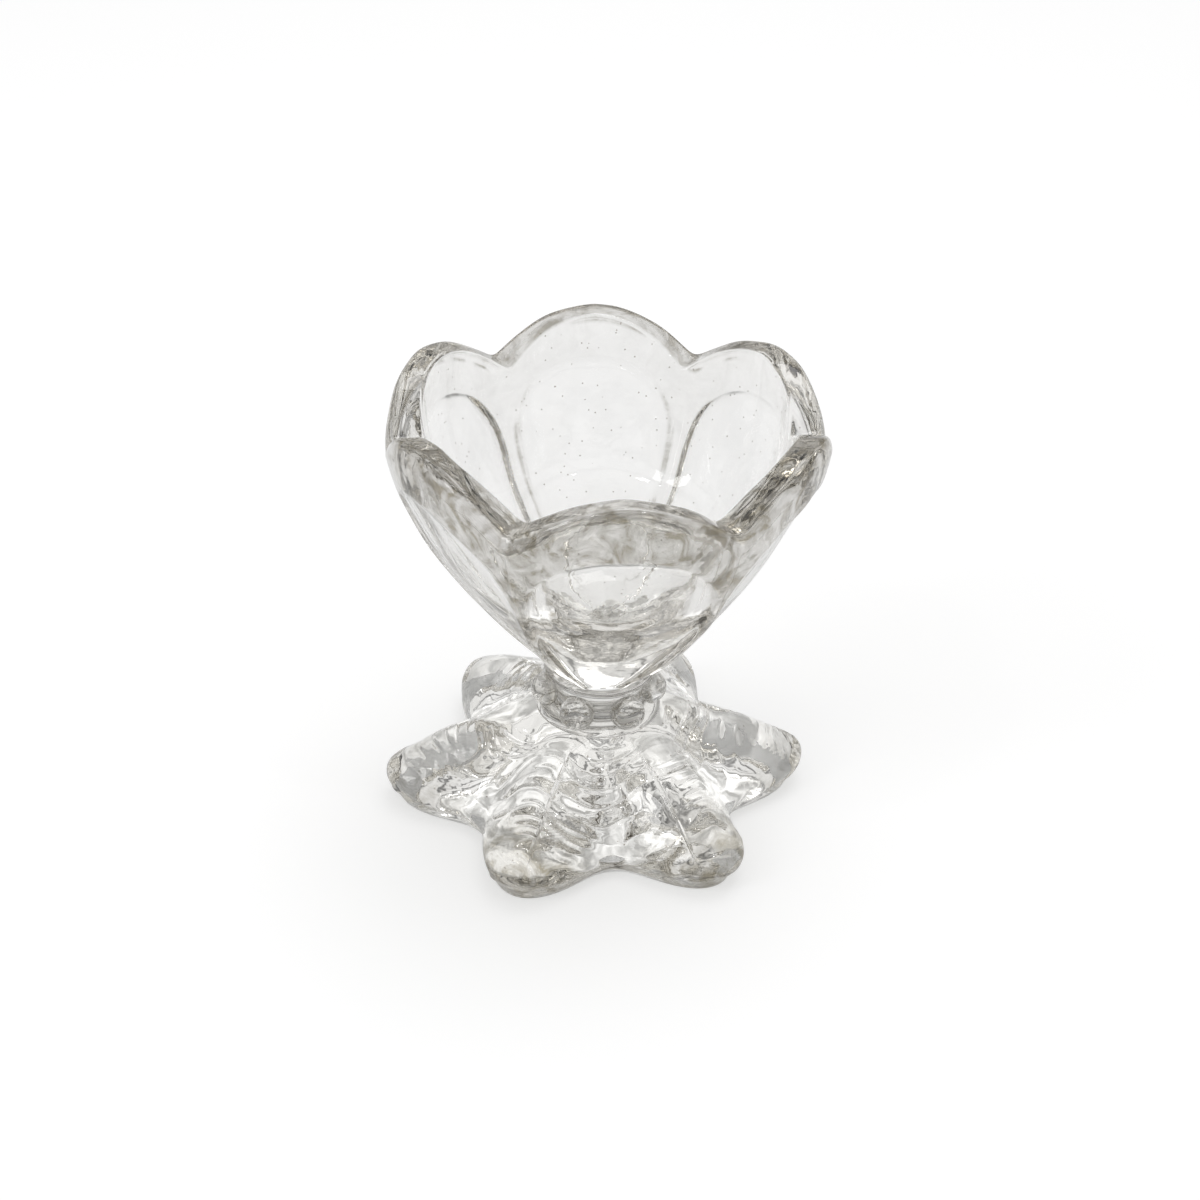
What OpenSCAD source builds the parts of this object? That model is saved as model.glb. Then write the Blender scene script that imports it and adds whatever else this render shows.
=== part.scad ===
// Open salt cellar in pressed clear glass.
// A bowl of six petals stands on a beaded collar and a foot shaped like a six-armed star.
// Z is up and the origin lies on the table, at the centre of the foot.
// The notches between the petals, the beads and the arms of the foot share their directions,
// the first of them along +X, and a petal faces -Y. The foot is turned a little from there.

/* [Whole piece] */
// Number of petals, of beads and of arms
petals = 6; // [5:1:8]

/* [Bowl] */
// Height of the bowl, from the collar to the petal tops
bowl_h = 43.5; // [38:0.5:54]
// Diameter of the bowl's round body at the height of the petal tops
rim_d = 63; // [57:0.5:72]
// Diameter of the bowl where it stands on the collar
bowl_base_d = 13.6; // [12:0.2:15]
// How far the notches drop below the petal tops
notch_drop = 6.2; // [2:0.1:8]
// How far the middle of a petal lies inside the round through the corners
petal_flat = 0.9; // [0:0.1:2]
// Thickness of the wall at the middle of a petal's rim
rim_wall = 4.6; // [3.6:0.1:5.6]
// Width of the lip's rounded outer shoulder
shoulder_w = 1.3; // [0.5:0.1:1.7]
// Height of the lip's rounded outer shoulder
shoulder_h = 2.6; // [1:0.1:3]
// Radius of the lip's inner edge
inner_edge_r = 0.8; // [0.4:0.1:1.2]

/* [Salt well] */
// Glass under the salt well, from the collar to the floor of the well
well_floor_t = 10.5; // [5:0.5:13]
// Diameter of the flat floor of the well
well_floor_d = 7.2; // [3:0.2:9]
// Height in which the well rounds out from its floor to its wall
well_round_h = 11.5; // [6:0.5:14]
// Extra thickness of the wall at the bottom of the bowl
well_wall_gain = 0.8; // [0:0.1:2]
// How far the ridges inside, below the notches, stand in from the petals
well_ridge = 1; // [0:0.1:1.5]

/* [Scooped panels] */
// Distance from a petal's top down to the arched top of its panel
panel_drop = 8.2; // [7:0.2:14]
// Height of a panel's arch, above the place where it is widest
panel_arch_h = 12; // [6:0.5:16]
// Depth of the scoop at the middle of a panel
panel_depth = 2.2; // [0.5:0.1:2.4]
// Width of the rib left standing between two panels
rib_w = 2.4; // [0:0.2:4]

/* [Beaded collar] */
// Height of the collar, from the foot to the bowl
collar_h = 6.5; // [6:0.1:9]
// Diameter of the collar at its waist, behind the beads
collar_waist_d = 13; // [10:0.5:15]
// Diameter that the collar widens to under the bowl
collar_top_d = 16; // [15:0.5:18]
// Diameter of each bead
bead_d = 4.8; // [3.4:0.1:5.4]
// Diameter of the circle on which the beads are centred
bead_circle_d = 15; // [13:0.5:17]
// Gap between the foot and the lowest point of the beads
bead_gap = 0.2; // [0.1:0.1:0.5]

/* [Star foot] */
// Height of the foot, from the table to the collar
foot_h = 15; // [12:0.5:20]
// Diameter over the tips of the arms
foot_tip_d = 62.5; // [54:0.5:72]
// Diameter over the hollows between the arms
foot_valley_d = 44; // [36:0.5:48]
// Diameter of the flat top that carries the collar
foot_top_d = 18; // [16:0.5:22]
// Height of the widest line at the tip of an arm
tip_edge_h = 4.2; // [3:0.1:5]
// Height of the widest line in a hollow between arms
valley_edge_h = 2.3; // [1.8:0.1:3]
// Radius of the rounded side at the tip of an arm
tip_nose_r = 2.5; // [1.6:0.1:2.9]
// Radius of the rounded side in a hollow between arms
valley_nose_r = 1.3; // [0.8:0.1:1.7]
// How far the slope along an arm bows out above a straight line
arm_bow = 1.1; // [0:0.1:1.5]
// Angle by which the foot is turned against the bowl, as the two were joined by eye
foot_turn = 3; // [0:0.5:8]
// Width of the flat seat that the foot rests on
seat_w = 3.4; // [2:0.1:5]
// Depth of the shallow recess inside the seat
recess_h = 2.4; // [1:0.1:5]

/* [Hidden] */

$fn = 64;

glass_colour = [0.86, 0.88, 0.86];

// Steps round one petal, and the number round the whole piece
petal_steps = 16;
steps = petals * petal_steps;
pitch = 360 / petals;

bowl_z = foot_h + collar_h;
bowl_top_z = bowl_z + bowl_h;
well_z = bowl_z + well_floor_t;
panel_wide_z = bowl_top_z - panel_drop - panel_arch_h;
rim_r = rim_d / 2;
bowl_base_r = bowl_base_d / 2;

// Shape of the bowl's side: the share of it that widens evenly, and how full the rest is
side_flare_share = 0.06;
side_fullness = 2.11;
// How full the rounding of the well is, where 1 is a straight cone
well_fullness = 1.8;
// Roundness of a petal's top and of a panel's arch, where 2 is a parabola
petal_arch_power = 2.05;
panel_arch_power = 2.1;
// How steeply a scoop drops in from its edge: 1 is a long gentle slope, 0 is a sharp step
scoop_edge_share = 0.45;
// Share of the bowl's height in which the scoops fade out towards the collar
scoop_fade_share = 0.3;
scoop_base_share = 0.35;
// How late the collar flares out from its waist
flare_power = 3.5;
// How sharply the arms of the foot stand out from the hollows
arm_power = 1.15;
// Where the rounded side of the foot meets its upright band, as an angle below level
nose_low_angle = 60;

function mix(low, high, share) = low + (high - low) * share;
function polar(r, a, z) = [r * cos(a), r * sin(a), z];

// Place within a petal: -1 and 1 at its notches, 0 at its middle
function petal_place(a) = 2 * (a / pitch - floor(a / pitch)) - 1;

// Azimuth of a loft's step j: the steps crowd at the notches and at the tips of the arms
function step_angle(j) = pitch * (floor(j / petal_steps)
    + (1 - cos(180 * (j % petal_steps) / petal_steps)) / 2);

// Closes a surface that runs from a first pole, through rings of points, to a last pole.
// The triangles of a petal mirror each other about its middle.
module loft(first_pole, rings, last_pole) {
    count = len(rings);
    points = concat([first_pole], [for (ring = rings) each ring], [last_pole]);
    last = count * steps + 1;
    first_fan = [for (j = [0 : steps - 1]) [0, 1 + j, 1 + (j + 1) % steps]];
    last_fan = [for (j = [0 : steps - 1])
        [last, last - steps + (j + 1) % steps, last - steps + j]];
    bands = [for (i = [0 : count - 2]) for (j = [0 : steps - 1])
        let (k = (j + 1) % steps, low = 1 + i * steps, high = low + steps)
        each j % petal_steps < petal_steps / 2
            ? [[low + j, high + j, high + k], [low + j, high + k, low + k]]
            : [[low + j, high + j, low + k], [low + k, high + j, high + k]]];
    polyhedron(points, concat(first_fan, bands, last_fan), convexity = 6);
}

function bowl_share(z) = (z - bowl_z) / bowl_h;

// Radius of the round body that the petals and panels are cut from
function side_share(t) = side_flare_share * t
    + (1 - side_flare_share) * (1 - pow(max(0, 1 - t), side_fullness));
function body_r(z) = mix(bowl_base_r, rim_r, side_share(bowl_share(z)));

// Height of the rim above the table
function rim_z(u) = bowl_top_z - notch_drop * pow(abs(u), petal_arch_power);

// Place across a panel: 0 at its middle, 1 where the rib beside it begins
function panel_place(u, z) = min(1, abs(u)
    / (1 - rib_w * petals / (2 * PI * body_r(min(z, panel_wide_z)))));

// Height of the arched line where a petal's scooped panel begins
function panel_z(u) = panel_wide_z + panel_arch_h
    * pow(1 - pow(panel_place(u, panel_wide_z), panel_arch_power), 1 / panel_arch_power);

// Depth of the scoop, which is nothing at the arched line and at the ribs
function scoop(u, z) =
    let (up = max(0, (z - panel_wide_z) / panel_arch_h),
         fade = min(1, bowl_share(z) / scoop_fade_share))
    panel_depth * mix(scoop_base_share, 1, sin(90 * fade))
        * pow(max(0, 1 - pow(panel_place(u, z), panel_arch_power) - pow(up, panel_arch_power)),
              scoop_edge_share);

function outer_r(u, z) = body_r(z) - petal_flat * bowl_share(z) * (1 - u * u) - scoop(u, z);

// Radius of the well: it rounds out from a flat floor to a wall with a ridge below each notch
function well_r(u, z) =
    let (t = bowl_share(z),
         wall = rim_wall + petal_flat * t + well_wall_gain * (1 - t),
         rise = min(1, max(0, (z - well_z) / well_round_h)))
    mix(well_floor_d / 2, body_r(z) - wall - well_ridge * t * u * u,
        1 - pow(1 - rise, well_fullness));

scoop_rings = 16;
band_rings = 3;
shoulder_rings = 4;
inner_edge_rings = 3;
well_rings = 13;
ring_crowding = 1.6;

// Heights of the outside rings, which crowd towards the arch, where the scoop is steepest
function outer_ring_z(u, i) = i <= scoop_rings
    ? mix(bowl_z, panel_z(u), 1 - pow(1 - i / scoop_rings, ring_crowding))
    : mix(panel_z(u), rim_z(u) - shoulder_h, (i - scoop_rings) / band_rings);

module petal_bowl() {
    outside = [for (i = [0 : scoop_rings + band_rings]) [for (j = [0 : steps - 1])
        let (a = step_angle(j), u = petal_place(a), z = outer_ring_z(u, i))
        polar(outer_r(u, z), a, z)]];
    shoulder = [for (i = [1 : shoulder_rings]) [for (j = [0 : steps - 1])
        let (a = step_angle(j), u = petal_place(a), z = rim_z(u) - shoulder_h,
             turn = 90 * i / shoulder_rings)
        polar(outer_r(u, z) - shoulder_w * (1 - cos(turn)), a, z + shoulder_h * sin(turn))]];
    inner_edge = [for (i = [0 : inner_edge_rings]) [for (j = [0 : steps - 1])
        let (a = step_angle(j), u = petal_place(a), z = rim_z(u) - inner_edge_r,
             turn = 90 - 90 * i / inner_edge_rings)
        polar(well_r(u, z) + inner_edge_r * (1 - cos(turn)), a, z + inner_edge_r * sin(turn))]];
    inside = [for (i = [1 : well_rings]) [for (j = [0 : steps - 1])
        let (a = step_angle(j), u = petal_place(a), down = 1 - i / well_rings,
             z = mix(well_z, rim_z(u) - inner_edge_r, down * down))
        polar(well_r(u, z), a, z)]];
    color(glass_colour)
        loft([0, 0, bowl_z], concat(outside, shoulder, inner_edge, inside), [0, 0, well_z]);
}

// Radius of the collar at a share of its height: it flares from its waist to both ends
function collar_r(share) =
    let (from_waist = 2 * share - 1,
         end_r = (from_waist < 0 ? foot_top_d : collar_top_d) / 2)
    mix(collar_waist_d / 2, end_r, pow(abs(from_waist), flare_power));

collar_steps = 16;

module beaded_collar() {
    color(glass_colour) translate([0, 0, foot_h]) {
        rotate_extrude()
            polygon(concat(
                [[0, 0]],
                [for (i = [0 : collar_steps]) [collar_r(i / collar_steps), collar_h * i / collar_steps]],
                [[0, collar_h]]));
        for (k = [0 : petals - 1])
            rotate([0, 0, k * pitch])
                translate([bead_circle_d / 2, 0, bead_gap + bead_d / 2])
                    sphere(d = bead_d);
    }
}

// How far an azimuth lies along the way from the hollows, 0, to the arms, 1
function arm_share(a) = pow((1 + cos(petals * a)) / 2, arm_power);

function foot_edge_r(a) = mix(foot_valley_d / 2, foot_tip_d / 2, arm_share(a));
function foot_edge_z(a) = mix(valley_edge_h, tip_edge_h, arm_share(a));
function foot_nose_r(a) = mix(valley_nose_r, tip_nose_r, arm_share(a));
function seat_r(a) = foot_edge_r(a) - foot_nose_r(a);

// Angle at which the rounded side runs on into the slope up to the collar
function nose_high_angle(a) = 90
    - atan((foot_h - foot_edge_z(a) - foot_nose_r(a)) / (foot_edge_r(a) - foot_top_d / 2));

nose_rings = 7;
slope_rings = 8;
recess_shares = [0.35, 0.65, 0.88];

function nose_point(a, turn) =
    polar(foot_edge_r(a) - foot_nose_r(a) * (1 - cos(turn)), a,
          foot_edge_z(a) + foot_nose_r(a) * sin(turn));

function slope_point(a, share) =
    let (low = nose_point(a, nose_high_angle(a)),
         high = polar(foot_top_d / 2, a, foot_h))
    mix(low, high, share) + [0, 0, arm_bow * sin(180 * share)];

module star_foot() {
    recess = [for (share = recess_shares) [for (j = [0 : steps - 1])
        let (a = step_angle(j))
        polar((seat_r(a) - seat_w) * share, a, recess_h * (1 - share * share))]];
    seat = [for (w = [seat_w, 0]) [for (j = [0 : steps - 1])
        polar(seat_r(step_angle(j)) - w, step_angle(j), 0)]];
    nose = [for (i = [0 : nose_rings]) [for (j = [0 : steps - 1])
        let (a = step_angle(j))
        nose_point(a, mix(-nose_low_angle, nose_high_angle(a), i / nose_rings))]];
    slope = [for (i = [1 : slope_rings]) [for (j = [0 : steps - 1])
        slope_point(step_angle(j), i / slope_rings)]];
    color(glass_colour) rotate([0, 0, foot_turn])
        loft([0, 0, recess_h], concat(recess, seat, nose, slope), [0, 0, foot_h]);
}

petal_bowl();
beaded_collar();
star_foot();
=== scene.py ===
"""An open salt cellar in clear pressed glass, with a star foot, a beaded collar and six petals."""

import math

import bpy
import numpy as np
from mathutils import Matrix, Vector


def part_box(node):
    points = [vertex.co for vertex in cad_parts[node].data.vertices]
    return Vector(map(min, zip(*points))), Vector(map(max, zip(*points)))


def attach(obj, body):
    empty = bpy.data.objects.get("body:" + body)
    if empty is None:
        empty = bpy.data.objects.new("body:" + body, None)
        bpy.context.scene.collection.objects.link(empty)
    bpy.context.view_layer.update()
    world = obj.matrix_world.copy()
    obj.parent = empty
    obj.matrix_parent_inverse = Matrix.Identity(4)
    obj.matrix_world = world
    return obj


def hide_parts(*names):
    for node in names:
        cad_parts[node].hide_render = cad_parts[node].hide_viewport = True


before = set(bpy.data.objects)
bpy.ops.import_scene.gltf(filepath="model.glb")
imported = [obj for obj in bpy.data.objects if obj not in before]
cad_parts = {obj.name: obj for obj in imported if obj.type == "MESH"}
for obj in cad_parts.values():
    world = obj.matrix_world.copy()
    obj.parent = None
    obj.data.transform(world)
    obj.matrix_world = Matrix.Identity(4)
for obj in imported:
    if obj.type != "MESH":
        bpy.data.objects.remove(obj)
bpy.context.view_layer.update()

# Star foot
# A solid star of pressed glass with six blunt arms, pushed out of a cold iron mould, which left
# fine wrinkles across the arms and a seam along two of them. Its flat seat lies round a shallow
# recess, and its round top was stuck hot to the collar.

foot_low, foot_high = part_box("star_foot")
foot_h = foot_high.z - foot_low.z
petals = 6
pitch = math.tau / petals
foot_tip_r = 0.03124
foot_valley_r = 0.022
foot_top_r = 0.009
foot_turn = math.radians(3)
arm_power = 1.15
tip_edge_h, valley_edge_h = 0.0042, 0.0023
tip_nose_r, valley_nose_r = 0.0025, 0.0013
seat_w = 0.0034
recess_h = 0.0024
arm_bow = 0.0011
# Points that lie nearer to each other than this count as touching
touch = 1e-6


def mix(low, high, share):
    return low + (high - low) * share


def polar(r, angle, z):
    return np.stack([r * np.cos(angle), r * np.sin(angle), z + 0 * angle], axis=-1)


def angles_round(steps):
    """Angles of the points of a ring. The first comes again at the end, to close the seam."""
    return np.linspace(0, math.tau, steps + 1)


def mould(name, rings):
    """Presses a flat sheet of quads into rings that run from pole to pole, and closes it."""
    bpy.ops.object.select_all(action="DESELECT")
    bpy.ops.mesh.primitive_grid_add(
        x_subdivisions=len(rings[0]) - 1, y_subdivisions=len(rings) - 1, size=1
    )
    piece = bpy.context.object
    piece.name = piece.data.name = name
    piece.data.vertices.foreach_set("co", np.concatenate(rings).astype(np.float32).ravel())
    piece.data.update()
    bpy.ops.object.mode_set(mode="EDIT")
    bpy.ops.mesh.select_all(action="SELECT")
    bpy.ops.mesh.remove_doubles(threshold=touch)
    bpy.ops.mesh.normals_make_consistent(inside=False)
    bpy.ops.object.mode_set(mode="OBJECT")
    bpy.ops.object.shade_smooth()
    return piece


def feed(tree, socket, value):
    """Gives a socket its value, or links it to the output of another node."""
    if isinstance(value, bpy.types.NodeSocket):
        tree.links.new(value, socket)
    else:
        socket.default_value = value


def maths(tree, operation, *values):
    node = tree.nodes.new("ShaderNodeMath")
    node.operation = operation
    for socket, value in zip(node.inputs, values):
        feed(tree, socket, value)
    return node.outputs[0]


def remap(tree, value, low, high, to_low=0, to_high=1, interpolation="LINEAR"):
    """Turns a value that goes from low to high into one that goes from to_low to to_high."""
    node = tree.nodes.new("ShaderNodeMapRange")
    node.interpolation_type = interpolation
    tree.links.new(value, node.inputs["Value"])
    node.inputs["From Min"].default_value = low
    node.inputs["From Max"].default_value = high
    node.inputs["To Min"].default_value = to_low
    node.inputs["To Max"].default_value = to_high
    return node.outputs["Result"]


def blend(tree, share, first, second):
    """Mixes two colours, each a plain one or the output of another node."""
    node = tree.nodes.new("ShaderNodeMix")
    node.data_type = "RGBA"
    tree.links.new(share, node.inputs["Factor"])
    feed(tree, node.inputs["A"], first)
    feed(tree, node.inputs["B"], second)
    return node.outputs["Result"]


def either(tree, share, first, second):
    """Mixes two shaders."""
    node = tree.nodes.new("ShaderNodeMixShader")
    for socket, output in zip(node.inputs, (share, first, second)):
        tree.links.new(output, socket)
    return node.outputs[0]


def texture(tree, kind, output, place, **settings):
    node = tree.nodes.new("ShaderNodeTex" + kind)
    tree.links.new(place, node.inputs["Vector"])
    for name, value in settings.items():
        node.inputs[name].default_value = value
    return node.outputs[output]


def clear_glass(name, film_and_shade_colour, density):
    """Clear glass with a faint tint, sparse specks and a skin that is never quite even.

    A brownish film, partly painted shade, darkens it as far as an attribute of the piece says.
    """
    clear, speck_colour = (0.985, 0.985, 0.98, 1), (0.2, 0.17, 0.14, 1)
    let_by, body_colour = (0.76, 0.76, 0.75, 1), (0.5, 0.45, 0.34, 1)
    glass = bpy.data.materials.new(name)
    glass.use_nodes = True
    tree = glass.node_tree
    nodes, links = tree.nodes, tree.links
    shader = nodes["Principled BSDF"]
    shader.inputs["Roughness"].default_value = 0.0
    shader.inputs["IOR"].default_value = 1.5
    shader.inputs["Transmission Weight"].default_value = 1
    place = nodes.new("ShaderNodeTexCoord").outputs["Object"]
    # Blotches of the film and painted shade, about 4 mm across, broken up by finer streaks
    blotch = texture(
        tree, "Noise", "Fac", place, Scale=230, Detail=5, Roughness=0.62, Distortion=1.2
    )
    film_and_shade = nodes.new("ShaderNodeAttribute")
    film_and_shade.attribute_name = "film_and_shade"
    blotch = remap(tree, blotch, low=0.42, high=0.62, to_low=0.4)
    share = maths(tree, "MULTIPLY", film_and_shade.outputs["Fac"], blotch)
    colour = blend(tree, share, clear, film_and_shade_colour)
    # Sparse dark specks of a fifth of a millimetre
    cells = texture(tree, "Voronoi", "Distance", place, Scale=620)
    speck = maths(tree, "LESS_THAN", cells, 0.07)
    links.new(blend(tree, speck, colour, speck_colour), shader.inputs["Base Color"])
    # The skin of fire-polished glass is never quite even
    uneven = nodes.new("ShaderNodeBump")
    uneven.inputs["Strength"].default_value = 1
    uneven.inputs["Distance"].default_value = 0.00006
    skin = texture(tree, "Noise", "Fac", place, Scale=300, Detail=2)
    links.new(skin, uneven.inputs["Height"])
    links.new(uneven.outputs["Normal"], shader.inputs["Normal"])
    # Light from the lamps and off the table is let by with some loss, which keeps the shadow soft
    path = nodes.new("ShaderNodeLightPath").outputs
    lamps = maths(tree, "MAXIMUM", path["Is Shadow Ray"], path["Is Diffuse Ray"])
    through = nodes.new("ShaderNodeBsdfTransparent")
    through.inputs["Color"].default_value = let_by
    surface = either(tree, lamps, shader.outputs[0], through.outputs[0])
    links.new(surface, nodes["Material Output"].inputs["Surface"])
    # The faint tint of the glass grows with its thickness
    body = nodes.new("ShaderNodeVolumeAbsorption")
    body.inputs["Color"].default_value = body_colour
    body.inputs["Density"].default_value = density
    links.new(body.outputs[0], nodes["Material Output"].inputs["Volume"])
    return glass


def hot_joint(name):
    """Where two pieces were stuck together hot there is no surface, so light passes straight on."""
    joint = bpy.data.materials.new(name)
    joint.use_nodes = True
    nodes, links = joint.node_tree.nodes, joint.node_tree.links
    nodes.remove(nodes["Principled BSDF"])
    through = nodes.new("ShaderNodeBsdfTransparent")
    links.new(through.outputs[0], nodes["Material Output"].inputs["Surface"])
    return joint


def waves(points, size, seed):
    """Smooth noise from about -1 to 1, with swells of about this size, at each point."""
    count, coarsest, finest, usual_peak = 24, 0.6, 1.4, 7
    dice = np.random.default_rng(seed)
    # Each wave runs its own way, and some are finer than others
    ways = dice.normal(size=(count, 3))
    fineness = dice.uniform(coarsest, finest, (count, 1))
    ways *= fineness / np.linalg.norm(ways, axis=1, keepdims=True)
    starts = dice.uniform(0, math.tau, count)
    return np.sin(points @ ways.T * math.tau / (2 * size) + starts).sum(axis=1) / usual_peak


def dips(points, depth, size, seed):
    """How deep the skin dips at each point: smooth noise from 0 to twice this depth."""
    return depth * (1 + np.clip(waves(points, size, seed), -1, 1))


def points_of(piece, kind="co"):
    values = np.empty(len(piece.data.vertices) * 3, np.float32)
    piece.data.vertices.foreach_get(kind, values)
    return values.reshape(-1, 3).astype(float)


def sink(piece, depth):
    """Moves each point of the piece in along its normal by its own depth."""
    moved = points_of(piece) - points_of(piece, "normal") * depth[:, None]
    piece.data.vertices.foreach_set("co", moved.astype(np.float32).ravel())
    piece.data.update()


def smooth_step(low, high, value):
    share = np.clip((value - low) / (high - low), 0, 1)
    return share * share * (3 - 2 * share)


def front_share(points, at_back):
    """1 at the front of the piece, which faces -Y, and a lesser share at its back."""
    back_y, front_y = 0.01, -0.02
    return mix(at_back, 1, smooth_step(back_y, front_y, points[:, 1]))


def give_film_and_shade(piece, share):
    """Stores how strong the film and painted shade are at each point of the piece."""
    film_and_shade = piece.data.attributes.new("film_and_shade", "FLOAT", "POINT")
    film_and_shade.data.foreach_set("value", np.clip(share, 0, 1).astype(np.float32))


def finish_glass(piece, glass, joints, in_joint):
    """Gives the piece its glass, and the joint to the faces that lie wholly in one."""
    piece.data.materials.append(glass)
    piece.data.materials.append(joints)
    for face in piece.data.polygons:
        face.material_index = int(all(in_joint(piece.data.vertices[v].co) for v in face.vertices))


foot_glass = clear_glass("clear_foot_glass", film_and_shade_colour=(0.2, 0.175, 0.12, 1), density=9)
joints = hot_joint("glass_to_glass_joint")

foot_steps = 300
# The two seams, with points close enough beside them to hold their shape
seams = np.radians([243.5, 292])
beside = np.radians([-0.9, -0.55, -0.35, -0.15, 0, 0.15, 0.35, 0.55, 0.9])
angle = np.sort(np.concatenate([angles_round(foot_steps), (seams[:, None] + beside).ravel()]))
arm = ((1 + np.cos(petals * angle)) / 2) ** arm_power
edge_r = mix(foot_valley_r, foot_tip_r, arm)
edge_h = mix(valley_edge_h, tip_edge_h, arm)
nose_r = mix(valley_nose_r, tip_nose_r, arm)
seat_r = edge_r - nose_r
top_turn = math.pi / 2 - np.arctan((foot_h - edge_h - nose_r) / (edge_r - foot_top_r))
low_turn = -math.radians(60)

# Rings from the middle of the recess, over the seat, the nose and the slope, to the middle above
recess_rings, seat_rings, nose_rings, slope_rings, cap_rings = 30, 6, 16, 220, 12
foot_rings = [polar(0, angle, recess_h)]
for share in np.linspace(0, 1, recess_rings)[1:]:
    foot_rings.append(polar((seat_r - seat_w) * share, angle, recess_h * (1 - share**2)))
for share in np.linspace(0, 1, seat_rings)[1:]:
    foot_rings.append(polar(seat_r - seat_w * (1 - share), angle, 0))
for share in np.linspace(0, 1, nose_rings):
    turn = mix(low_turn, top_turn, share)
    foot_rings.append(
        polar(edge_r - nose_r * (1 - np.cos(turn)), angle, edge_h + nose_r * np.sin(turn))
    )
slope_low = foot_rings[-1]
slope_high = polar(foot_top_r, angle, foot_h)
for share in np.linspace(0, 1, slope_rings)[1:]:
    ring = mix(slope_low, slope_high, share)
    ring[:, 2] += arm_bow * math.sin(math.pi * share)
    foot_rings.append(ring)
for share in np.linspace(1, 0, cap_rings)[1:]:
    foot_rings.append(polar(foot_top_r * share, angle, foot_h))
turned = np.array(Matrix.Rotation(foot_turn, 3, "Z"))
foot = mould("star_foot_glass", [ring @ turned.T for ring in foot_rings])

# The relief ends below the joint, and the wrinkles and the seams stay above the noses of the arms
joint_fade_low, joint_fade_high = foot_h - 0.0025, foot_h - 0.0005
nose_fade_low, nose_fade_high = 0.0035, 0.006
place = points_of(foot)
radius = np.hypot(place[:, 0], place[:, 1])
clear_of_joint = 1 - smooth_step(joint_fade_low, joint_fade_high, place[:, 2])
upper = smooth_step(nose_fade_low, nose_fade_high, place[:, 2])
# Chill wrinkles run round the foot over its arms, in patches, and most of all at the front.
# How far a wrinkle wanders is given in gaps between wrinkles.
wrinkle_gap, wrinkle_depth, wrinkle_sharpness = 0.0019, 0.0002, 3
wide_wander, fine_wander = 1.1, 0.2
front_pull, patch_from, patch_whole = 1.2, -0.5, 0.5
phase = radius / wrinkle_gap + wide_wander * waves(place, size=0.007, seed=3)
phase += fine_wander * waves(place, size=0.0025, seed=4)
patch = waves(place, size=0.006, seed=5) - front_pull * place[:, 1] / foot_tip_r
patch = smooth_step(patch_from, patch_whole, patch)
groove = (0.5 + 0.5 * np.cos(math.tau * phase)) ** wrinkle_sharpness
wrinkles = wrinkle_depth * groove * patch * upper * clear_of_joint
swells = dips(place, depth=0.00016, size=0.004, seed=6) * clear_of_joint
# The recess underneath is rougher, and the seat stays flat
rough_fade_h, downward = 0.0005, -0.5
faces_down = points_of(foot, "normal")[:, 2] < downward
rough = dips(place, depth=0.0003, size=0.003, seed=7) * smooth_step(0, rough_fade_h, place[:, 2])
swells = np.where(faces_down, rough, swells)
# Each seam stands out as a low fin, which dies away before the tip of the arm
seam_w, seam_h, seam_fade = 0.00016, 0.00018, 0.006
turn_about = np.arctan2(place[:, 1], place[:, 0]) % math.tau - foot_turn
from_seam = (turn_about[:, None] - seams) * radius[:, None]
fin = np.exp(-((from_seam / seam_w) ** 2)).sum(axis=1)
fin *= upper * clear_of_joint * smooth_step(foot_tip_r, foot_tip_r - seam_fade, radius)
sink(foot, wrinkles + swells - seam_h * fin)
# The brownish film and painted shade start at the first of these shares of the tip's radius, and
# are whole at the second
film_and_shade_from, film_and_shade_whole = 0.58, 0.9
outer_part = smooth_step(film_and_shade_from, film_and_shade_whole, radius / foot_tip_r)
give_film_and_shade(foot, outer_part * front_share(place, at_back=0.3))
finish_glass(foot, foot_glass, joints, lambda p: p.z > foot_h - touch)
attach(foot, "root")
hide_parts("star_foot")

# Beaded collar
# A short waisted stem of the same pressed glass, with six round beads fused into it. It was stuck
# hot to the top of the foot below it and to the base of the bowl above it.

collar_low, collar_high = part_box("beaded_collar")
collar_h = collar_high.z - collar_low.z
collar_waist_r = 0.0065
collar_top_r = 0.008
flare_power = 2.2
bead_r = 0.0024
bead_gap = 0.0002
bead_circle_r = 0.0075
bead_z = bead_gap + bead_r
bowl_base_r = 0.0068


def turn_from_bead(turn):
    """Angle between a direction and the middle of the bead nearest to it."""
    return np.abs((turn / pitch + 0.5) % 1 - 0.5) * pitch


collar_steps, stem_rings = 288, 90
angle = angles_round(collar_steps)
collar_rings = []
for share in np.linspace(0, 1, cap_rings):
    collar_rings.append(polar(foot_top_r * share, angle, collar_low.z))
heights = np.linspace(0, collar_h, stem_rings)[1:-1]
from_waist = 2 * heights / collar_h - 1
end_r = np.where(from_waist < 0, foot_top_r, collar_top_r)
waist = collar_waist_r + (end_r - collar_waist_r) * np.abs(from_waist) ** flare_power
from_bead = turn_from_bead(angle)
for height, waist_r in zip(heights, waist):
    up = height - bead_z
    # A line out from the axis leaves the nearest bead here, if it meets one
    half_chord_squared = bead_r**2 - up**2 - (bead_circle_r * np.sin(from_bead)) ** 2
    half_chord = np.sqrt(np.maximum(0, half_chord_squared))
    bead = np.where(half_chord > 0, bead_circle_r * np.cos(from_bead) + half_chord, 0)
    collar_rings.append(polar(np.maximum(waist_r, bead), angle, collar_low.z + height))
for share in np.linspace(1, 0, cap_rings):
    collar_rings.append(polar(collar_top_r * share, angle, collar_high.z))
collar = mould("beaded_collar_glass", collar_rings)
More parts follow.
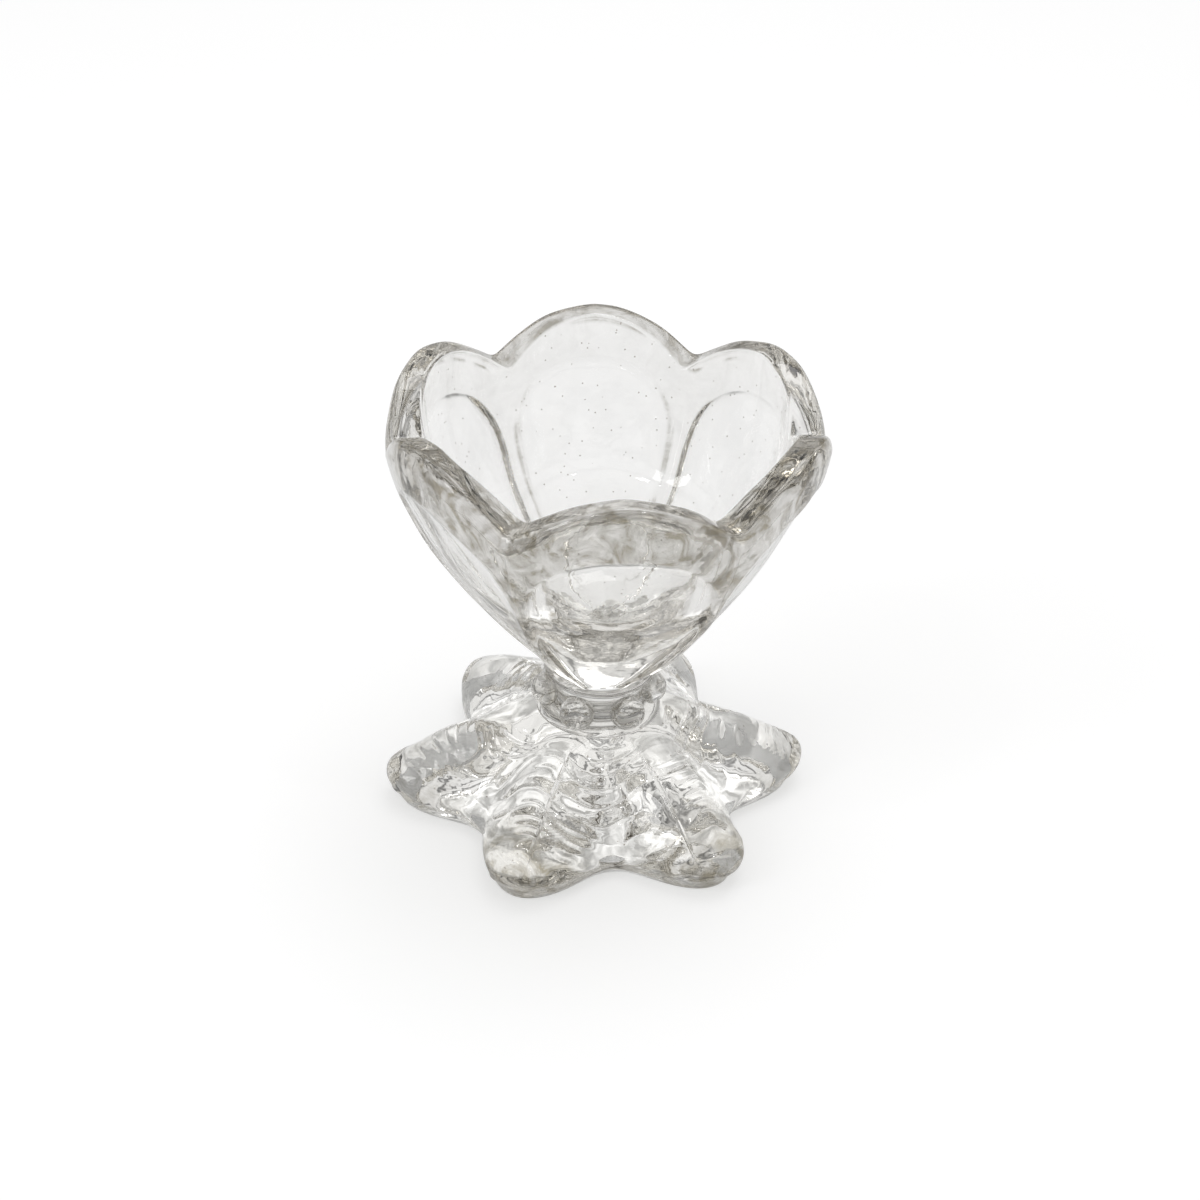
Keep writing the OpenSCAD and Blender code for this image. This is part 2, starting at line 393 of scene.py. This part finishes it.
# Painted shade darkens the crease round each bead, over a thin film
thin_film = 0.15
bead_shade_w, bead_shade_reach = 0.0005, 0.0008
place = points_of(collar)
radius = np.hypot(place[:, 0], place[:, 1])
from_bead = turn_from_bead(np.arctan2(place[:, 1], place[:, 0]))
from_bead_middle = np.sqrt(
    (radius * np.cos(from_bead) - bead_circle_r) ** 2
    + (radius * np.sin(from_bead)) ** 2
    + (place[:, 2] - collar_low.z - bead_z) ** 2
)
crease_shade = smooth_step(bead_shade_w, 0, from_bead_middle - bead_r)
crease_shade *= smooth_step(bead_circle_r + bead_shade_reach, bead_circle_r, radius)
give_film_and_shade(collar, mix(thin_film, 1, crease_shade))


def in_collar_joint(point):
    in_top = point.z > collar_high.z - touch and point.xy.length < bowl_base_r + touch
    return in_top or point.z < collar_low.z + touch


finish_glass(collar, foot_glass, joints, in_collar_joint)
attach(collar, "root")
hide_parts("beaded_collar")

# Petal bowl
# The salt well and its six petals, in clear glass pressed between a mould with scooped panels and
# a plunger that leaves a ridge below each notch. Thick ribs stand between the panels, the lip was
# rounded in the fire, and the base was stuck hot to the collar.

bowl_low, bowl_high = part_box("petal_bowl")
bowl_z, bowl_top_z = bowl_low.z, bowl_high.z
bowl_h = bowl_top_z - bowl_z
rim_r = 0.0315
straight_share, side_power = 0.06, 2.11
notch_drop = 0.0062
notch_softness = 0.06
petal_power = 2.05
petal_flat = 0.0009
rim_wall = 0.0046
shoulder_w, shoulder_h = 0.0013, 0.0026
inner_edge_w, inner_edge_h = 0.0008, 0.0007
crown_h = 0.0002
well_z = bowl_z + 0.0105
well_floor_r = 0.0036
well_round_h = 0.0115
well_round_power = 1.8
well_wall_gain = 0.0008
well_ridge = 0.001
panel_arch_h = 0.012
panel_wide_z = bowl_top_z - 0.0082 - panel_arch_h
panel_power = 2.1
panel_depth = 0.0022
panel_low_share, panel_deepens_over = 0.35, 0.3
crease_power = 0.45
crease_softness = 0.003
rib_w = 0.0024

bowl_glass = clear_glass("clear_bowl_glass", film_and_shade_colour=(0.16, 0.138, 0.095, 1), density=11)
# The points of a petal crowd a little towards the ribs beside it
petal_steps, crowding = 72, 0.5
evenly = np.linspace(-1, 1, petal_steps + 1)[:-1]
crowded = mix(evenly, np.sin(evenly * math.pi / 2), crowding)
petal_angles = [(petal + (crowded + 1) / 2) * pitch for petal in range(petals)]
angle = np.concatenate([*petal_angles, [math.tau]])


def across_petal(turn):
    """Place across a petal: 0 at its middle, and -1 or 1 at the notches beside it."""
    return 2 * ((turn / pitch) % 1) - 1


across = across_petal(angle)


def body_r(z):
    up = np.clip((z - bowl_z) / bowl_h, 0, 1)
    bulged = 1 - (1 - up) ** side_power
    return mix(bowl_base_r, rim_r, straight_share * up + (1 - straight_share) * bulged)


def rim_z():
    from_middle = 1 - (np.sqrt((1 - np.abs(across)) ** 2 + notch_softness**2) - notch_softness)
    return bowl_top_z - notch_drop * from_middle**petal_power


def panel_place(z):
    """Place across a panel: 0 at its middle and 1 at the rib beside it."""
    rib_share = rib_w * petals / (math.tau * body_r(np.minimum(z, panel_wide_z)))
    return np.abs(across) / (1 - rib_share)


def panel_top():
    """Height of the arched line where each panel begins."""
    side = np.minimum(1, panel_place(panel_wide_z))
    return panel_wide_z + panel_arch_h * (1 - side**panel_power) ** (1 / panel_power)


def inside_panel(z):
    """1 at the middle of a panel, 0 on the crease round it and less than 0 past it."""
    above = np.maximum(0, (z - panel_wide_z) / panel_arch_h)
    return 1 - panel_place(z) ** panel_power - above**panel_power


def scoop(z):
    """Depth of the panels, which are shallower near the base of the bowl."""
    inside = inside_panel(z)
    rounded = (inside + np.sqrt(inside**2 + crease_softness)) / 2
    fade = np.clip((z - bowl_z) / bowl_h / panel_deepens_over, 0, 1)
    deepening = mix(panel_low_share, 1, np.sin(math.pi / 2 * fade))
    return panel_depth * deepening * rounded**crease_power


def outer_r(z):
    return body_r(z) - petal_flat * (z - bowl_z) / bowl_h * (1 - across**2) - scoop(z)


def well_r(z):
    up = (z - bowl_z) / bowl_h
    wall = rim_wall + petal_flat * up + well_wall_gain * (1 - up)
    rise = np.clip((z - well_z) / well_round_h, 0, 1)
    wall_r = body_r(z) - wall - well_ridge * up * across**2
    return mix(well_floor_r, wall_r, 1 - (1 - rise) ** well_round_power)


# Rings from the middle of the base, up the outside, over the lip and down into the well. They
# crowd towards the arched tops of the panels and towards the floor of the well.
base_rings, side_rings, band_rings, shoulder_rings = 10, 110, 28, 14
lip_rings, inner_edge_rings, wall_rings, floor_rings = 10, 8, 56, 6
side_crowding, band_crowding, wall_crowding = 1.5, 1.4, 2
shoulder_z, edge_z = rim_z() - shoulder_h, rim_z() - crown_h - inner_edge_h
bowl_rings = []
for share in np.linspace(0, 1, base_rings)[:-1]:
    bowl_rings.append(polar(bowl_base_r * share, angle, bowl_z))
for share in 1 - (1 - np.linspace(0, 1, side_rings)) ** side_crowding:
    z = mix(bowl_z, panel_top(), share)
    bowl_rings.append(polar(outer_r(z), angle, z))
for share in np.linspace(0, 1, band_rings)[1:] ** band_crowding:
    z = mix(panel_top(), shoulder_z, share)
    bowl_rings.append(polar(outer_r(z), angle, z))
for turn in np.linspace(0, math.pi / 2, shoulder_rings)[1:]:
    r = outer_r(shoulder_z) - shoulder_w * (1 - math.cos(turn))
    bowl_rings.append(polar(r, angle, shoulder_z + shoulder_h * math.sin(turn)))
top_out, top_in = outer_r(shoulder_z) - shoulder_w, well_r(edge_z) + inner_edge_w
# The top of the lip falls a little towards the well
for share in np.linspace(0, 1, lip_rings)[1:-1]:
    bowl_rings.append(polar(mix(top_out, top_in, share), angle, rim_z() - crown_h * share**2))
for turn in np.linspace(math.pi / 2, 0, inner_edge_rings):
    r = well_r(edge_z) + inner_edge_w * (1 - math.cos(turn))
    bowl_rings.append(polar(r, angle, edge_z + inner_edge_h * math.sin(turn)))
for share in (1 - np.linspace(0, 1, wall_rings)[1:]) ** wall_crowding:
    z = mix(well_z, edge_z, share)
    bowl_rings.append(polar(well_r(z), angle, z))
for share in np.linspace(1, 0, floor_rings)[1:]:
    bowl_rings.append(polar(well_floor_r * share, angle, well_z))
bowl = mould("petal_bowl_glass", bowl_rings)
# The skin swells a little, in shapes drawn out upwards, and stays flat at the joint
drawn_out, joint_fade_h = (1, 1, 0.35), 0.002
place = points_of(bowl)
swells = dips(place * drawn_out, depth=0.0001, size=0.0035, seed=8)
sink(bowl, swells * smooth_step(bowl_z, bowl_z + joint_fade_h, place[:, 2]))

# From here on the place across a petal is that of each point of the bowl
across = across_petal(np.arctan2(place[:, 1], place[:, 0]))
from_well = np.hypot(place[:, 0], place[:, 1]) - well_r(place[:, 2])
from_rim = rim_z() - place[:, 2]
# The brownish film, partly painted shade, lies on the thick glass: the lip, the band above the
# panels and the ribs. It is strongest on the side that faces -Y.
outside_from, outside_whole = 0.0014, 0.0022
panel_from, panel_whole = 0.0002, 0.0007
lost_in_panel, film_and_shade_rise_h = 0.88, 0.014
outside = smooth_step(outside_from, outside_whole, from_well)
in_panel = smooth_step(panel_from, panel_whole, scoop(place[:, 2]))
film_and_shade = outside * (1 - lost_in_panel * in_panel)
film_and_shade *= smooth_step(bowl_z, bowl_z + film_and_shade_rise_h, place[:, 2]) * front_share(place, at_back=0.15)
# On the lip it lies at the front and the back, and not at both sides
lip_film_low, lip_film_whole, lip_bare_w = 0.0022, 0.0008, 0.0008
front_from_y, front_whole_y = 0, -0.008
back_from_y, back_whole_y, lip_back_film_and_shade = 0.012, 0.02, 0.9
on_lip = smooth_step(lip_film_low, lip_film_whole, from_rim)
on_lip *= smooth_step(0, lip_bare_w, from_well)
at_front = smooth_step(front_from_y, front_whole_y, place[:, 1])
at_back = smooth_step(back_from_y, back_whole_y, place[:, 1])
film_and_shade = np.maximum(film_and_shade, on_lip * (at_front + lip_back_film_and_shade * at_back))
# Painted shade darkens the creases beside the ribs, in patches
crease_shade_reach, beside_from, beside_whole = 0.06, 0.6, 0.9
crease_shade_low_z, crease_shade_whole_z = bowl_z + 0.004, bowl_z + 0.012
patch_from, patch_whole = -1.2, -0.1
crease_shade = np.exp(-((inside_panel(place[:, 2]) / crease_shade_reach) ** 2)) * outside
crease_shade *= smooth_step(beside_from, beside_whole, np.abs(across))
crease_shade *= smooth_step(crease_shade_low_z, crease_shade_whole_z, place[:, 2])
patch = smooth_step(patch_from, patch_whole, waves(place, size=0.004, seed=10))
film_and_shade = np.maximum(film_and_shade, crease_shade * patch)
# Painted shade also darkens the line below the shoulder of the lip, in patches
line_shade_strength, line_whole, line_end = 0.9, 0.0001, 0.0004
patch_from, patch_whole = -0.3, 0.5
shoulder_line_shade = 1 - smooth_step(line_whole, line_end, np.abs(from_rim - shoulder_h))
patch = smooth_step(patch_from, patch_whole, waves(place, size=0.003, seed=9))
give_film_and_shade(bowl, film_and_shade + line_shade_strength * outside * shoulder_line_shade * patch)
finish_glass(bowl, bowl_glass, joints, lambda p: p.z < bowl_z + touch)
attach(bowl, "root")
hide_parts("petal_bowl")

# Table
# A plain pale sweep of paper, on which the piece stands loose. It shows white, and keeps the
# soft shadow.

table_r, table_corners = 1.5, 96
near_tone, far_tone = (0.8, 0.8, 0.8, 1), (0.2, 0.2, 0.2, 1)
bpy.ops.object.select_all(action="DESELECT")
bpy.ops.mesh.primitive_circle_add(vertices=table_corners, radius=table_r, fill_type="NGON")
table = bpy.context.object
table.name = table.data.name = "table"
sweep = bpy.data.materials.new("pale_sweep")
sweep.use_nodes = True
tree = sweep.node_tree
nodes, links = tree.nodes, tree.links
paper = nodes["Principled BSDF"]
paper.inputs["Roughness"].default_value = 1
paper.inputs["Specular IOR Level"].default_value = 0
path = nodes.new("ShaderNodeLightPath").outputs
spot = nodes.new("ShaderNodeTexCoord").outputs["Object"]


def reach_from_middle(width_share, depth_share):
    """Distance from the middle of the sweep, with its width and depth each scaled by a share."""
    squashed = nodes.new("ShaderNodeVectorMath")
    squashed.operation = "MULTIPLY"
    squashed.inputs[1].default_value = (width_share, depth_share, 1)
    links.new(spot, squashed.inputs[0])
    reach = nodes.new("ShaderNodeVectorMath")
    reach.operation = "LENGTH"
    links.new(squashed.outputs[0], reach.inputs[0])
    return reach.outputs["Value"]


# Seen in the glass, the sweep falls off into the dim sides of the room
reach = reach_from_middle(width_share=1, depth_share=0.6)
far_off = remap(tree, reach, low=0.18, high=0.5, interpolation="SMOOTHSTEP")
far_in_glass = maths(tree, "MULTIPLY", far_off, path["Is Transmission Ray"])
links.new(blend(tree, far_in_glass, near_tone, far_tone), paper.inputs["Base Color"])
# The foot gathers light under itself in an uneven pattern. As caustics are off, the sweep
# gives this light off itself, to rays that come through the glass.
reach = reach_from_middle(width_share=0.7, depth_share=1.15)
gathered = remap(tree, reach, 0.026, 0.034, to_low=0.72, to_high=0, interpolation="SMOOTHSTEP")
pattern = texture(tree, "Noise", "Fac", spot, Scale=150, Detail=2, Distortion=1.6)
bright = remap(tree, pattern, low=0.4, high=0.62)
# It also gives off a little light everywhere: to the camera, through the glass and in reflections
to_camera, through_glass, in_reflection = 0.3, 0.17, 0.03
thrown = maths(tree, "MULTIPLY_ADD", gathered, bright, through_glass)
lift = maths(tree, "MULTIPLY", path["Is Camera Ray"], to_camera)
lift = maths(tree, "MULTIPLY_ADD", path["Is Transmission Ray"], thrown, lift)
lift = maths(tree, "MULTIPLY_ADD", path["Is Glossy Ray"], in_reflection, lift)
white = nodes.new("ShaderNodeEmission")
links.new(lift, white.inputs["Strength"])
both = nodes.new("ShaderNodeAddShader")
links.new(paper.outputs[0], both.inputs[0])
links.new(white.outputs[0], both.inputs[1])
links.new(both.outputs[0], nodes["Material Output"].inputs["Surface"])
table.data.materials.append(sweep)

# Light
# A plain studio: an even room with dark screens low at both sides, a large soft lamp above, a
# smaller one at the left, and two small ones at the front for sharp glints.

room = bpy.data.worlds.new("studio_room")
bpy.context.scene.world = room
room.use_nodes = True
tree = room.node_tree
nodes, links = tree.nodes, tree.links
even = nodes["Background"]
even.inputs["Color"].default_value = (1, 1, 1, 1)
even.inputs["Strength"].default_value = 0.55
place = nodes.new("ShaderNodeTexCoord")
split = nodes.new("ShaderNodeSeparateXYZ")
links.new(place.outputs["Generated"], split.inputs[0])
ramp = nodes.new("ShaderNodeValToRGB")
ramp.color_ramp.interpolation = "EASE"
# How bright the room is in the glass, from level with the table at 0 to straight above at 1
stops = [
    (0.0, 0.6),
    (0.05, 0.12),
    (0.11, 0.6),
    (0.2, 0.3),
    (0.27, 0.9),
    (0.36, 0.95),
    (0.41, 0.2),
    (0.46, 0.95),
    (0.68, 1.0),
    (0.74, 0.25),
    (0.8, 1.0),
    (0.9, 0.9),
    (1.0, 0.35),
]
while len(ramp.color_ramp.elements) < len(stops):
    ramp.color_ramp.elements.new(0.5)
for element, (at, level) in zip(ramp.color_ramp.elements, stops):
    element.position = at
    element.color = (level, level, level, 1)
links.new(split.outputs["Z"], ramp.inputs["Fac"])
# Dark screens stand low at both sides, and draw the edges of the glass
aside = maths(tree, "ABSOLUTE", split.outputs["X"])
screen = remap(tree, aside, low=0.8, high=0.93, interpolation="SMOOTHSTEP")
screen_top = remap(
    tree, split.outputs["Z"], 0.2, 0.38, to_low=0.65, to_high=0, interpolation="SMOOTHSTEP"
)
hidden = maths(tree, "MULTIPLY", screen, screen_top)
shown = nodes.new("ShaderNodeBackground")
links.new(ramp.outputs["Color"], shown.inputs["Color"])
links.new(maths(tree, "SUBTRACT", 1, hidden), shown.inputs["Strength"])
# The camera sees plain white, the glass sees the ramp and the screens, and the rest is even
plain = nodes.new("ShaderNodeBackground")
plain.inputs["Color"].default_value = (1, 1, 1, 1)
path = nodes.new("ShaderNodeLightPath").outputs
in_glass = maths(tree, "MAXIMUM", path["Is Glossy Ray"], path["Is Transmission Ray"])
seen = either(tree, in_glass, even.outputs[0], shown.outputs[0])
seen = either(tree, path["Is Camera Ray"], seen, plain.outputs[0])
links.new(seen, nodes["World Output"].inputs["Surface"])

lamps_aim = Vector((0, 0, 0.03))


def soft_lamp(name, place, size, power):
    bpy.ops.object.light_add(type="AREA", location=place)
    lamp = bpy.context.object
    lamp.name = lamp.data.name = name
    lamp.data.shape = "RECTANGLE"
    lamp.data.size, lamp.data.size_y = size
    lamp.data.energy = power
    lamp.rotation_euler = (Vector(place) - lamps_aim).to_track_quat("Z", "Y").to_euler()


soft_lamp("lamp_above", place=(0.15, 0.25, 0.9), size=(0.5, 0.5), power=2.4)
soft_lamp("lamp_left", place=(-0.7, -0.35, 0.55), size=(0.25, 0.4), power=1.5)
# Two small lamps at the front add hardly any light, but give the glass its sharp glints
soft_lamp("glint_left", place=(-0.25, -0.2, 0.5), size=(0.035, 0.035), power=0.1)
soft_lamp("glint_right", place=(0.22, -0.25, 0.5), size=(0.035, 0.035), power=0.1)

# Camera
# It stands where the photograph was taken from, a little to the left of the front, and is
# tipped a little to one side as it was.

camera_back, camera_up = 0.28264, 0.21409
camera_aim = Vector((-0.00029, 0, 0.0326))
camera_turn = Matrix.Rotation(math.radians(-5.548), 3, "Z")
camera_tip = Matrix.Rotation(math.radians(2.176), 3, "Z")
bpy.ops.object.camera_add(location=camera_turn @ Vector((0, -camera_back, camera_up)))
camera = bpy.context.object
look = (camera_turn @ camera_aim - camera.location).to_track_quat("-Z", "Y")
camera.rotation_euler = (look.to_matrix() @ camera_tip).to_euler()
camera.data.lens = 71.01
camera.data.sensor_width = 36
camera.data.clip_start = 0.01
scene = bpy.context.scene
scene.camera = camera
scene.view_settings.view_transform = "Standard"
# Caustics are off, and a ray may pass through many walls of glass
scene.cycles.caustics_refractive = False
scene.cycles.caustics_reflective = False
scene.cycles.max_bounces = 24
scene.cycles.transmission_bounces = 20
scene.cycles.glossy_bounces = 12
scene.cycles.transparent_max_bounces = 24
